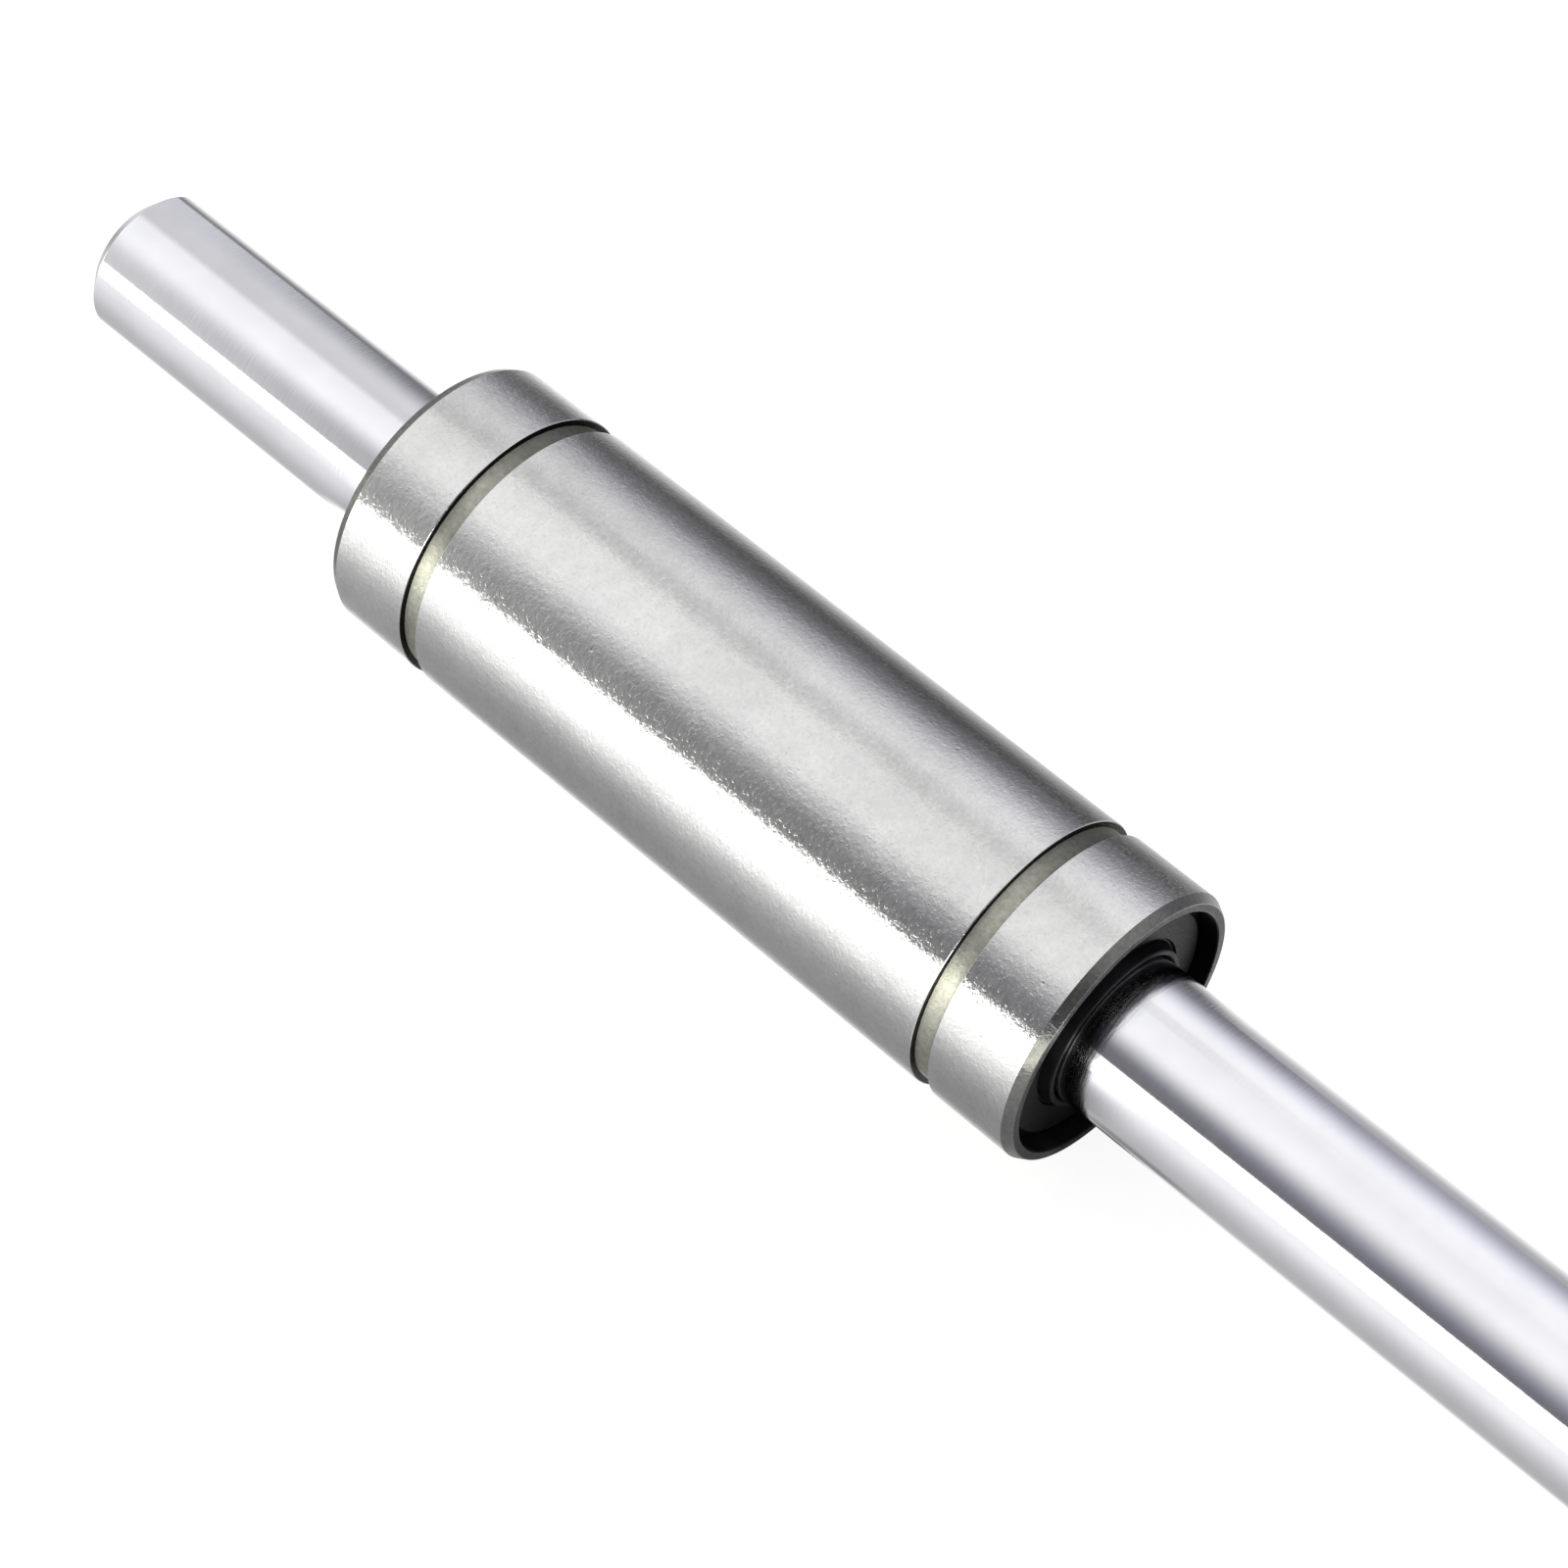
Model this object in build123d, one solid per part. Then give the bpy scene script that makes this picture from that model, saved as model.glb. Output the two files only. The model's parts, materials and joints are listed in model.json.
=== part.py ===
from build123d import *
import math
import os

# Double-length sealed linear ball bearing on its ground shaft.
# Lengths are in millimetres and angles in degrees.
# X runs along the shaft with the front at +X, Z is up, and the origin is the middle of the bearing.

# Shaft, measured each way from the middle of the bearing
shaft_dia = 8.0
shaft_front_length = 65.0
shaft_rear_length = 45.0
shaft_chamfer = 0.8

# Outer sleeve, whose wall over the raceways brings it to the standard 15 mm outside
raceway_wall = 1.8825
counterbore_wall = 0.75
counterbore_break = 0.06
sleeve_length = 45.0
sleeve_chamfer_length = 0.5
sleeve_chamfer_depth = 0.27
circlip_groove_span = 35.0
circlip_groove_width = 1.1
circlip_groove_depth = 0.35
circlip_groove_break = 0.1

# Ball circuits: a loaded row, a return row beside it and a half-circle turn at each end
ball_dia = 1.5875
ball_row_clearance = 0.015
ball_gap = 0.07
circuit_count = 4
row_spacing = 2.6

# Relief pockets of the sleeve, which free the balls of their return rows
relief_start = 0.34
relief_ball_clearance = 0.06

# Ball retainers
retainer_shaft_clearance = 0.2
retainer_sleeve_clearance = 0.12
retainer_key_clearance = 0.12
retainer_pad_wall = 0.5
retainer_end_wall = 0.8
ball_pocket_clearance = 0.056

# Centre spacer between the two retainers
spacer_length = 1.5
spacer_shaft_clearance = 0.25

# What closes each end, from the mouth inwards: seal, snap ring, end ring
seal_recess = 0.8
seal_thickness = 1.5
seal_fit = 0.01
snap_groove_width = 0.6
snap_groove_depth = 0.25
snap_ring_width = 1.05
snap_ring_clearance = 0.05
snap_ring_gap = 34.0
snap_ring_tip = 0.2
end_ring_thickness = 0.5
end_ring_shaft_clearance = 0.35
end_ring_bore_clearance = 0.1
end_float = 0.05

# Seal section
seal_step_width = 0.48
seal_step_depth = 0.35
seal_step_fillet = 0.08
seal_valley_depth = 0.2
seal_valley_width = 0.2
seal_lip_clearance = 0.03
seal_lip_width = 0.67
seal_lip_height = 0.5
seal_lip_thickness = 0.36
seal_lip_round = 0.1
seal_lip_bevel = 0.12
seal_lip_land = 0.25
seal_lip_flare = 0.32
core_thickness = 0.35
core_edge = 0.25
core_lip_distance = 0.66
bond_line = 0.01

# How far a cutting shape runs past the face that it opens
cut_past = 1.0

# Radii that follow
shaft_r = shaft_dia / 2
ball_r = ball_dia / 2
row_height = shaft_r + ball_row_clearance + ball_r
raceway_r = row_height + ball_r + ball_row_clearance
sleeve_r = raceway_r + raceway_wall
counterbore_r = sleeve_r - counterbore_wall
snap_groove_r = counterbore_r + snap_groove_depth
return_r = math.hypot(row_height, row_spacing)
relief_r = return_r + ball_r + relief_ball_clearance
retainer_inner_r = shaft_r + retainer_shaft_clearance
retainer_outer_r = raceway_r - retainer_sleeve_clearance
pad_r = relief_r - retainer_key_clearance
channel_r = ball_r + ball_pocket_clearance
turn_r = row_spacing / 2
seal_r = counterbore_r - seal_fit
lip_r = shaft_r + seal_lip_clearance
core_outer_r = seal_r - core_edge
core_inner_r = lip_r + core_lip_distance

# Places across a circuit, measured sideways from its loaded row
relief_end = row_spacing + channel_r + retainer_pad_wall + retainer_key_clearance
pad_start = relief_start + retainer_key_clearance
pad_end = relief_end - retainer_key_clearance

# Places along X, for the front half
end_x = sleeve_length / 2
seal_face_x = end_x - seal_recess
seal_back_x = seal_face_x - seal_thickness
snap_groove_x = seal_back_x - snap_groove_width
end_ring_x = snap_groove_x - end_float - end_ring_thickness
shoulder_x = end_ring_x - end_float
spacer_x = spacer_length / 2
retainer_start_x = spacer_x + end_float
retainer_end_x = shoulder_x - end_float
retainer_mid_x = (retainer_start_x + retainer_end_x) / 2
row_length = retainer_end_x - retainer_start_x - 2 * (retainer_end_wall + channel_r + turn_r)
circuit_pitch = 360 / circuit_count


def turned(points):
    """Solid of revolution about X. The points are (x, radius), in order around the section."""
    section = make_face(Polyline([(x, 0, r) for x, r in points], close=True))
    return revolve(section, axis=Axis.X, revolution_arc=360)


def ring(x_low, x_high, inner_r, outer_r):
    """Plain ring about X."""
    return turned([(x_low, inner_r), (x_high, inner_r), (x_high, outer_r), (x_low, outer_r)])


def at_rear(part):
    """The same piece at the rear end, turned half a circle about Z."""
    return Rot(0, 0, 180) * part


def in_rear_half(part):
    """The same retainer or ball moved to the rear half, so that it still fits the relief pockets."""
    return Pos(-2 * retainer_mid_x, 0, 0) * part


def around(part):
    """One copy of a piece for each ball circuit."""
    return [Rot(circuit_pitch * i, 0, 0) * part for i in range(circuit_count)]


def sector(x_low, x_high, y_low, y_high, inner_r, outer_r):
    """The piece of a ring between two planes beside a circuit's loaded row, on the circuit's own side."""
    slab = Box(x_high - x_low, y_high - y_low, outer_r, align=(Align.MIN, Align.MIN, Align.MIN))
    return ring(x_low, x_high, inner_r, outer_r) & (Pos(x_low, y_low, 0) * slab)


def circlip_groove():
    """Cutter for one outer ring groove, with a small break on both edges."""
    outer_x = circlip_groove_span / 2
    inner_x = outer_x - circlip_groove_width
    floor_r = sleeve_r - circlip_groove_depth
    above = sleeve_r + circlip_groove_break
    flare = 2 * circlip_groove_break
    return turned([
        (inner_x, floor_r),
        (outer_x, floor_r),
        (outer_x, sleeve_r - circlip_groove_break),
        (outer_x + flare, above),
        (inner_x - flare, above),
        (inner_x, sleeve_r - circlip_groove_break),
    ])


def end_recess():
    """Cutter for the counterbore, its inner snap groove and the break at its mouth."""
    past = end_x + cut_past
    mouth = counterbore_r + counterbore_break
    return turned([
        (shoulder_x, 0),
        (past, 0),
        (past, mouth),
        (end_x, mouth),
        (end_x - counterbore_break, counterbore_r),
        (seal_back_x, counterbore_r),
        (seal_back_x, snap_groove_r),
        (snap_groove_x, snap_groove_r),
        (snap_groove_x, counterbore_r),
        (shoulder_x, counterbore_r),
    ])


def make_guide_shaft():
    neck = shaft_r - shaft_chamfer
    return turned([
        (-shaft_rear_length, 0),
        (shaft_front_length, 0),
        (shaft_front_length, neck),
        (shaft_front_length - shaft_chamfer, shaft_r),
        (-shaft_rear_length + shaft_chamfer, shaft_r),
        (-shaft_rear_length, neck),
    ])


def make_outer_sleeve():
    """Ground steel tube: two ring grooves outside, raceways and relief pockets inside."""
    chamfer_x = end_x - sleeve_chamfer_length
    face_r = sleeve_r - sleeve_chamfer_depth
    sleeve = turned([
        (-end_x, raceway_r),
        (end_x, raceway_r),
        (end_x, face_r),
        (chamfer_x, sleeve_r),
        (-chamfer_x, sleeve_r),
        (-end_x, face_r),
    ])
    pocket = sector(-shoulder_x, shoulder_x, relief_start, relief_end, shaft_r, relief_r)
    front_cuts = [circlip_groove(), end_recess()]
    rear_cuts = [at_rear(cut) for cut in front_cuts]
    return sleeve - around(pocket) - front_cuts - rear_cuts


def channel():
    """Cutter for one ball circuit, round below the balls' centres and open outwards above them."""
    depth = relief_r - row_height + cut_past
    floor = Circle(channel_r)
    slot = Rectangle(2 * channel_r, depth, align=(Align.CENTER, Align.MIN))
    across = Plane(origin=(0, 0, row_height), x_dir=(0, 1, 0), z_dir=(1, 0, 0))
    section = across * (floor + slot)
    start = retainer_mid_x - row_length / 2
    loaded = extrude(Pos(start, 0, 0) * section, row_length, dir=(1, 0, 0))
    cutter = loaded + Pos(0, row_spacing, 0) * loaded
    for x, arc in ((start, 180), (start + row_length, -180)):
        turn_axis = Axis((x, turn_r, 0), (0, 0, -1))
        cutter += revolve(Pos(x, 0, 0) * section, axis=turn_axis, revolution_arc=arc)
    return cutter


def make_retainer():
    """Moulded cage of the front half: a sleeve with raised pads that key into the relief pockets."""
    body = ring(retainer_start_x, retainer_end_x, retainer_inner_r, retainer_outer_r)
    pad = sector(
        retainer_start_x, retainer_end_x, pad_start, pad_end, retainer_inner_r + ball_r, pad_r
    )
    return body + around(pad) - around(channel())


def track_point(distance):
    """Place of a ball's centre at this distance along its circuit, from the start of the loaded row."""
    half_turn = math.pi * turn_r
    side = row_length + half_turn
    leg = distance % side
    x = leg - row_length / 2
    y = 0.0
    if leg > row_length:
        angle = (leg - row_length) / turn_r
        x = row_length / 2 + turn_r * math.sin(angle)
        y = turn_r - turn_r * math.cos(angle)
    if distance >= side:
        x = -x
        y = row_spacing - y
    return (retainer_mid_x + x, y, row_height)


def ball_spacing():
    """Even spacing along the track that leaves the balls a gap where they bunch in the turns."""
    track = 2 * (row_length + math.pi * turn_r)
    closest = 2 * turn_r * math.asin((ball_dia + ball_gap) / (2 * turn_r))
    count = math.floor(track / closest)
    return count, track / count


def make_ball_circuit():
    """The balls of the front half's uppermost circuit, as separate spheres."""
    count, spacing = ball_spacing()
    return [Pos(*track_point(i * spacing)) * Sphere(ball_r) for i in range(count)]


def make_center_spacer():
    return ring(-spacer_x, spacer_x, shaft_r + spacer_shaft_clearance, retainer_outer_r)


def make_end_ring():
    inner_r = shaft_r + end_ring_shaft_clearance
    outer_r = counterbore_r - end_ring_bore_clearance
    return ring(end_ring_x, end_ring_x + end_ring_thickness, inner_r, outer_r)


def make_snap_ring():
    """Split ring sprung into the inner groove, with its gap at the bottom and its tips rounded."""
    outer_r = snap_groove_r - snap_ring_clearance
    low_x = snap_groove_x + snap_ring_clearance
    high_x = seal_back_x - snap_ring_clearance
    whole = ring(low_x, high_x, outer_r - snap_ring_width, outer_r)
    half_gap = math.radians(snap_ring_gap / 2)
    reach = 2 * outer_r
    wedge = [(0, 0), (reach * math.sin(half_gap), -reach), (-reach * math.sin(half_gap), -reach)]
    across = Plane(origin=(low_x, 0, 0), x_dir=(0, 1, 0), z_dir=(1, 0, 0))
    gap = extrude(across * make_face(Polyline(wedge, close=True)), high_x - low_x, dir=(1, 0, 0))
    split = whole - gap
    tips = [e for e in split.edges().filter_by(Axis.X) if e.center().Z < 0]
    return fillet(tips, snap_ring_tip)


def make_seal():
    """Moulded seal: a stepped disc in the counterbore, a valley in its face and a lip around the shaft."""
    step_x = seal_face_x - seal_step_depth
    round_x = seal_face_x - seal_step_fillet
    disc_r = counterbore_r - seal_step_width
    valley_r = lip_r + seal_lip_width
    root_r = valley_r - seal_valley_width
    valley_floor = (seal_face_x - seal_valley_depth, (valley_r + root_r) / 2)
    crest_x = seal_face_x + seal_lip_height
    flank_r = lip_r + seal_lip_thickness
    tip_r = lip_r + seal_lip_bevel
    tip_x = crest_x - seal_lip_round
    land_x = tip_x - seal_lip_bevel
    outline = [
        Line((seal_back_x, seal_r), (step_x, seal_r)),
        Line((step_x, seal_r), (step_x, disc_r)),
        Line((step_x, disc_r), (round_x, disc_r)),
        RadiusArc((round_x, disc_r), (seal_face_x, disc_r - seal_step_fillet), seal_step_fillet),
        Line((seal_face_x, disc_r - seal_step_fillet), (seal_face_x, valley_r)),
        ThreePointArc((seal_face_x, valley_r), valley_floor, (seal_face_x, root_r)),
        Line((seal_face_x, root_r), (tip_x, flank_r)),
        ThreePointArc((tip_x, flank_r), (crest_x, (flank_r + tip_r) / 2), (tip_x, tip_r)),
        Line((tip_x, tip_r), (land_x, lip_r)),
        Line((land_x, lip_r), (land_x - seal_lip_land, lip_r)),
        Line((land_x - seal_lip_land, lip_r), (seal_back_x, lip_r + seal_lip_flare)),
        Line((seal_back_x, lip_r + seal_lip_flare), (seal_back_x, seal_r)),
    ]
    section = Plane.XZ * make_face(Wire(outline))
    body = revolve(section, axis=Axis.X, revolution_arc=360)
    return body - ring(seal_back_x, seal_back_x + core_thickness, core_inner_r, core_outer_r)


def make_seal_core():
    """Steel stiffening washer bonded into the seal's inner face."""
    high_x = seal_back_x + core_thickness - bond_line
    return ring(seal_back_x, high_x, core_inner_r + bond_line, core_outer_r - bond_line)


def save(solids, node):
    """Write one node, a single solid or a group of separate ones."""
    export_step(Compound(children=list(solids)), f"parts/{node}.step")


def main():
    os.makedirs("parts", exist_ok=True)
    save(make_guide_shaft().solids(), "guide_shaft")
    save(make_outer_sleeve().solids(), "outer_sleeve")
    save(make_center_spacer().solids(), "center_spacer")
    retainer = make_retainer()
    save(retainer.solids(), "front_retainer")
    save(in_rear_half(retainer).solids(), "rear_retainer")
    closings = {
        "end_ring": make_end_ring(),
        "snap_ring": make_snap_ring(),
        "seal": make_seal(),
        "seal_core": make_seal_core(),
    }
    for name, part in closings.items():
        save(part.solids(), f"front_{name}")
        save(at_rear(part).solids(), f"rear_{name}")
    for i in range(circuit_count):
        balls = [Rot(circuit_pitch * i, 0, 0) * ball for ball in make_ball_circuit()]
        save([ball.solid() for ball in balls], f"front_balls_{i + 1}")
        save([in_rear_half(ball).solid() for ball in balls], f"rear_balls_{i + 1}")


main()
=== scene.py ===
"""Dresses a sealed double-length linear ball bearing on its ground shaft.

Lengths are in metres, X runs along the shaft with the front at +X, and Z is up.
An angle around the shaft is 0 at the top and grows towards -Y.
"""

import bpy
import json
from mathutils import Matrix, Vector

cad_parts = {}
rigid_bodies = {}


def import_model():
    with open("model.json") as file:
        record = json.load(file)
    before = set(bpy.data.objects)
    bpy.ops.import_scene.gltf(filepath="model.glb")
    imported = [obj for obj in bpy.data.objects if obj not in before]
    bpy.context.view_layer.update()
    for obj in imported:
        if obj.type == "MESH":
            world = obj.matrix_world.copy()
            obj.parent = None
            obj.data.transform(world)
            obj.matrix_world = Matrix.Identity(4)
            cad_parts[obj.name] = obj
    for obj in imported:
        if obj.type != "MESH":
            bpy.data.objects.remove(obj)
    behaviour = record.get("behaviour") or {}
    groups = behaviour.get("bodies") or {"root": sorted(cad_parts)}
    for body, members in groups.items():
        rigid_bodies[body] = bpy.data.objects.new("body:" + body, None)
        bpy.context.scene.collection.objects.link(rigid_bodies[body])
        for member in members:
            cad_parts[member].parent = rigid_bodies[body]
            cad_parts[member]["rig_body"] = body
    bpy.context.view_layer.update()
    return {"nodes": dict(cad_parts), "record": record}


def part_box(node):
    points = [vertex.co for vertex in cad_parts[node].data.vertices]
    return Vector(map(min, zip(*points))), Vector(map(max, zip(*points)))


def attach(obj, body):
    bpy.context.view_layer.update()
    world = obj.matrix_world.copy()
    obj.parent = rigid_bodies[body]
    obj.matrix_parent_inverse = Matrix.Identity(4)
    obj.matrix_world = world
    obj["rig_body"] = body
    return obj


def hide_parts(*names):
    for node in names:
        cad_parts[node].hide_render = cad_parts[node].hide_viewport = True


bl_info = {
    "name": "Linear Ball Bearing",
    "version": (1, 0, 0),
    "blender": (4, 5, 0),
    "location": "View3D > Sidebar > Bearing",
    "description": "Builds the shaft, sleeve and seals of a linear ball bearing with their finishes",
    "category": "Add Mesh",
}

import json
import math
import bpy
import numpy as np
from mathutils import Matrix, Vector

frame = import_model()

MM = 0.001
MOUNTS = {mount["name"]: mount for mount in frame["record"]["mounts"]}


def mount_size(name, dimension):
    """A mount's dimension in metres."""
    return MOUNTS[name]["dims"][dimension] * MM


def mount_place(name):
    """A mount's place along the shaft in metres."""
    return MOUNTS[name]["pos_m"][0]


def length(name, value, text):
    """A size that a user may change, in metres."""
    return bpy.props.FloatProperty(
        name=name, description=text, default=value, precision=6, unit="LENGTH", subtype="DISTANCE"
    )


def share(name, value, text):
    """A plain number that a user may change."""
    return bpy.props.FloatProperty(name=name, description=text, default=value, min=0.0)


def colour(name, value, text):
    """A colour that a user may change."""
    return bpy.props.FloatVectorProperty(
        name=name, description=text, default=value, size=3, min=0.0, max=1.0, subtype="COLOR"
    )


class ShaftSettings(bpy.types.PropertyGroup):
    """Sizes and finish of the guide shaft."""

    radius: length("Radius", mount_size("front_shaft_seat", "r_mm"), "Radius of the ground shaft")
    front: length("Front end", mount_place("front_shaft_end"), "Place of the front end face")
    rear: length("Rear end", mount_place("rear_shaft_end"), "Place of the rear end face")
    chamfer: length("Chamfer", 0.8 * MM, "Chamfer at both ends")
    edge: length("Edge round", 0.08 * MM, "Rounding of the chamfers' edges")
    steel: colour("Steel", (0.79, 0.79, 0.822), "Colour of the polished steel")
    faced: colour("Faced steel", (0.30, 0.30, 0.31), "Colour of the turned end faces and chamfers")
    gloss: share("Roughness", 0.10, "Roughness of the polished steel")


class SleeveSettings(bpy.types.PropertyGroup):
    """Sizes and finish of the outer sleeve."""

    radius: length("Radius", mount_size("housing_seat", "r_mm"), "Radius of the ground outside")
    end: length("End", mount_place("front_face"), "Place of the front end face")
    chamfer_length: length("Chamfer length", 0.5 * MM, "Length of the end chamfers along the shaft")
    chamfer_depth: length("Chamfer depth", 0.27 * MM, "Depth of the end chamfers")
    groove: length("Groove", mount_place("front_circlip_groove"), "Middle of the front ring groove")
    groove_width: length(
        "Groove width", mount_size("front_circlip_groove", "length_mm"), "Width of the ring grooves"
    )
    groove_radius: length(
        "Groove floor", mount_size("front_circlip_groove", "r_mm"), "Radius of the grooves' floors"
    )
    groove_break: length("Groove break", 0.04 * MM, "Break of the grooves' outer edges")
    mouth_break: length("Mouth break", 0.06 * MM, "Break of the bore's mouth")
    rim: length("Rim round", 0.1 * MM, "Rounding between a chamfer and its end face")
    raceway_gap: length("Raceway gap", 0.015 * MM, "Room between the balls and the raceways")
    relief_gap: length("Relief gap", 0.12 * MM, "Room between the retainers and the relief pockets")
    edge: length("Edge round", 0.03 * MM, "Rounding of the edges")
    steel: colour("Ground steel", (0.655, 0.655, 0.652), "Colour of the ground outside")
    turned: colour("Turned steel", (0.168, 0.168, 0.160), "Colour of the end chamfers")
    faced: colour("Faced steel", (0.068, 0.068, 0.070), "Colour of the end faces")
    # Painted shade: a near-black colour for the grooves' walls and the bore.
    dark: colour("Blackened steel", (0.009, 0.009, 0.009), "Colour of the grooves' walls and the bore")
    groove_steel: colour("Groove steel", (0.64, 0.64, 0.56), "Colour of the grooves' floors")
    gloss: share("Roughness", 0.17, "Roughness of the ground outside")


class SealSettings(bpy.types.PropertyGroup):
    """Sizes and finish of the two end seals."""

    fit: length("Fit", 0.01 * MM, "Room between a seal and its counterbore")
    step_width: length("Step width", 0.47 * MM, "Width of the step around the face")
    step_depth: length("Step depth", 0.35 * MM, "Depth of the step around the face")
    lip_gap: length("Lip gap", 0.03 * MM, "Room between the lip and the shaft")
    lip_width: length("Lip width", 0.67 * MM, "From the shaft to the face's inner edge")
    lip_height: length("Lip height", 0.5 * MM, "How far the lip stands out of the face")
    lip_thickness: length("Lip thickness", 0.36 * MM, "Thickness of the lip at its crest")
    lip_bevel: length("Lip bevel", 0.12 * MM, "Bevel of the lip's inner edge")
    lip_land: length("Lip land", 0.25 * MM, "Length of the lip along the shaft")
    lip_flare: length("Lip flare", 0.32 * MM, "How far the seal's bore opens behind the lip")
    valley: length("Valley", 0.2 * MM, "Depth of the valley between the face and the lip")
    edge: length("Edge round", 0.05 * MM, "Rounding of the edges")
    rubber: colour("Rubber", (0.0028, 0.0028, 0.0036), "Colour of the moulded rubber")


class StudioSettings(bpy.types.PropertyGroup):
    """The floor, the light tent around the object and the camera."""

    tent: length("Tent radius", 0.3, "Radius of the light tent around the shaft")
    overhead: share("Overhead light", 1.08, "Brightness of the overhead light")
    key: share("Key light", 1.5, "Brightness of the low strip of light at the camera's left")
    key_foot: share("Key light's foot", 1.6, "Extra brightness of that strip near the floor")
    key_end: share("Key light's end", 1.6, "Extra brightness of that strip beyond the front end")
    dim: share("Dim light", 0.18, "Brightness of the tent between its lights")
    flag: share("Flag", 0.92, "How much of the floor's mirrored light the flags take")
    lens: share("Lens", 100.17, "Focal length of the camera in millimetres")
    place: bpy.props.FloatVectorProperty(
        name="Camera", description="Place of the camera",
        default=(84.403 * MM, -85.438 * MM, 168.856 * MM), precision=6, size=3,
        unit="LENGTH", subtype="TRANSLATION",
    )
    azimuth: bpy.props.FloatProperty(
        name="Azimuth", description="Camera's turn around the object",
        default=math.radians(44.25), unit="ROTATION", subtype="ANGLE",
    )
    elevation: bpy.props.FloatProperty(
        name="Elevation", description="Camera's angle above the floor",
        default=math.radians(55.007), unit="ROTATION", subtype="ANGLE",
    )


def rounded_outline(corners, rounds, closed, steps=4, longest=2.0 * MM):
    """Section of a turned piece, as columns x, radius, normal x, normal radius and edge.

    The corners run with the solid on their left. Each becomes an arc that touches both of its runs:
    its centre lies beside the incoming run's end, one rounding radius to the inside of the turn, and
    its points are that centre plus the radius times the run's normal, turned in even steps. The edge
    column is the sine of the arc's share of its turn, so 1 in the middle of an edge and 0 on a run.
    Runs over the longest step are divided evenly.
    """
    corners = np.asarray(corners, float)
    rounds = np.asarray(rounds, float)
    ahead = np.roll(corners, -1, axis=0) - corners
    back = corners - np.roll(corners, 1, axis=0)
    ahead /= np.linalg.norm(ahead, axis=1, keepdims=True)
    back /= np.linalg.norm(back, axis=1, keepdims=True)
    cross = back[:, 0] * ahead[:, 1] - back[:, 1] * ahead[:, 0]
    turn = np.arctan2(cross, (back * ahead).sum(axis=1))
    outward = np.stack([back[:, 1], -back[:, 0]], axis=1)
    side = np.sign(turn)[:, None] * rounds[:, None]
    centre = corners - back * (rounds * np.tan(np.abs(turn) / 2))[:, None] - outward * side
    part = np.linspace(0.0, 1.0, steps + 1)
    angle = turn[:, None] * part
    cos, sin = np.cos(angle), np.sin(angle)
    normal_x = outward[:, :1] * cos - outward[:, 1:] * sin
    normal_r = outward[:, :1] * sin + outward[:, 1:] * cos
    rows = np.stack([
        centre[:, :1] + side * normal_x,
        centre[:, 1:] + side * normal_r,
        normal_x,
        normal_r,
        np.broadcast_to(np.sin(np.pi * part), angle.shape),
    ], axis=-1)
    if closed:
        rows = rows.reshape(-1, 5)
        rows = np.vstack([rows, rows[:1]])
    else:
        first = [*corners[0], ahead[0, 1], -ahead[0, 0], 0.0]
        last = [*corners[-1], back[-1, 1], -back[-1, 0], 0.0]
        rows = np.vstack([first, rows[1:-1].reshape(-1, 5), last])
    return divided(rows, longest, closed)


def divided(rows, longest, closed):
    """The same section with every run over the longest step cut into even steps by linear shares."""
    reach = np.linalg.norm(np.diff(rows[:, :2], axis=0), axis=1)
    counts = np.maximum(1, np.ceil(reach / longest)).astype(int)
    start = np.repeat(np.arange(len(counts)), counts)
    step = np.arange(counts.sum()) - np.repeat(np.cumsum(counts) - counts, counts)
    part = (step / np.repeat(counts, counts))[:, None]
    spread = rows[start] * (1 - part) + rows[start + 1] * part
    return spread if closed else np.vstack([spread, rows[-1:]])


def turned_mesh(name, rows, angles, closed, pocket=None):
    """Surface of revolution about the shaft's axis.

    A point is (x, -r sin a, r cos a) for each row's x and radius r and each angle a. The pocket array
    is added to the radius, row by angle. Faces join neighbours along both, rows first, so that they
    point outwards. Where the section ends on the axis, one point closes it as a fan of triangles.
    """
    x, radius, normal_x, normal_r, edge = rows.T
    spread = radius[:, None] + (0.0 if pocket is None else pocket)
    spread = np.broadcast_to(spread, (len(rows), len(angles)))
    sin, cos = np.sin(angles), np.cos(angles)
    points = np.stack(np.broadcast_arrays(x[:, None], -spread * sin, spread * cos), -1)
    normals = np.stack(np.broadcast_arrays(
        normal_x[:, None], -normal_r[:, None] * sin, normal_r[:, None] * cos
    ), -1)
    edges = np.broadcast_to(edge[:, None], spread.shape)
    number = np.arange(spread.size).reshape(spread.shape)
    fans = []
    if not closed:
        number = number - len(angles) + 1
        number[0], number[-1] = 0, number[-2, -1] + 1
        points = np.vstack([points[0, :1], points[1:-1].reshape(-1, 3), points[-1, :1]])
        normals = np.vstack([normals[0, :1], normals[1:-1].reshape(-1, 3), normals[-1, :1]])
        edges = np.concatenate([edges[0, :1], edges[1:-1].ravel(), edges[-1, :1]])
        fans = [
            np.stack([number[0], number[1], np.roll(number[1], -1)], -1),
            np.stack([number[-2], number[-1], np.roll(number[-2], -1)], -1),
        ]
        number = number[1:-1]
    following = np.roll(number, -1, axis=0) if closed else number[1:]
    current = number if closed else number[:-1]
    quads = np.stack([
        current, following, np.roll(following, -1, axis=1), np.roll(current, -1, axis=1)
    ], -1).reshape(-1, 4)
    mesh = bpy.data.meshes.new(name)
    faces = quads.tolist() + [triangle for fan in fans for triangle in fan.tolist()]
    mesh.from_pydata(points.reshape(-1, 3).tolist(), [], faces)
    mesh.shade_smooth()
    mesh.normals_split_custom_set_from_vertices(normals.reshape(-1, 3).tolist())
    add_mark(mesh, "edge", edges.ravel())
    return mesh


def add_mark(mesh, name, values):
    """Stores one number for each point, which a finish reads as an attribute."""
    mesh.attributes.new(name, "FLOAT", "POINT").data.foreach_set("value", values.astype(np.float32))


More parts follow.
